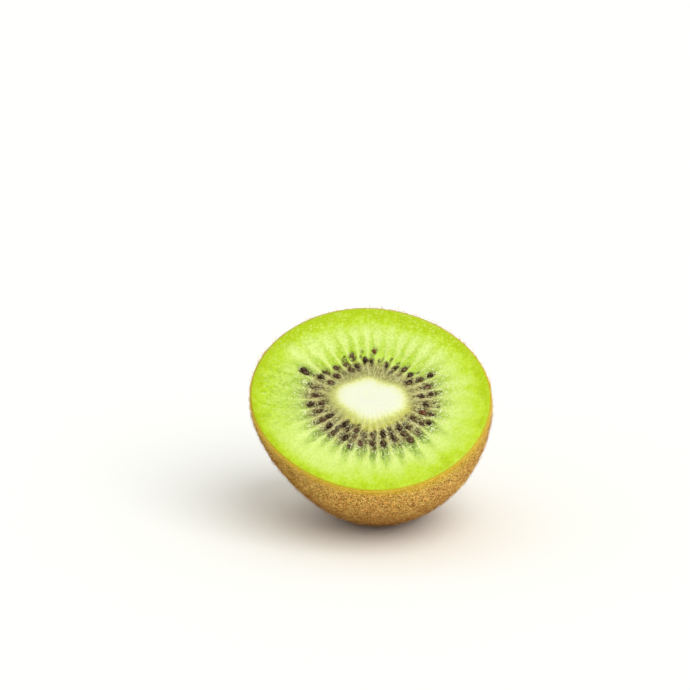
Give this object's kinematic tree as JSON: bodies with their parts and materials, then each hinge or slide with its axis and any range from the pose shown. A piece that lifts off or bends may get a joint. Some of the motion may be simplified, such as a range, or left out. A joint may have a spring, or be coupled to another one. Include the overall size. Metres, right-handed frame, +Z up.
{
  "type": "kiwi fruit half",
  "caption": "Half of a fuzzy green kiwi fruit, cut across the middle, lying on its round skin with the seeded cut face tilted forward.",
  "frame": {"origin": "middle of the small flat spot on the round skin that the half rests on", "axes": "+Z up, square to the flat spot; the cut face looks up and towards -Y, 37 degrees from level; +X to the right of someone who faces the cut"},
  "size_m": [0.0525, 0.0472, 0.0443],
  "materials": {
    "flesh": "moist cut flesh, translucent green, pale core",
    "skin": "thin dry tan-brown skin with dark specks",
    "seed": "wet dark purple-brown seed",
    "fuzz": "short dry golden-brown hairs"
  },
  "bodies": {
    "root": {"kiwi_half": "flesh"}
  },
  "joints": []
}
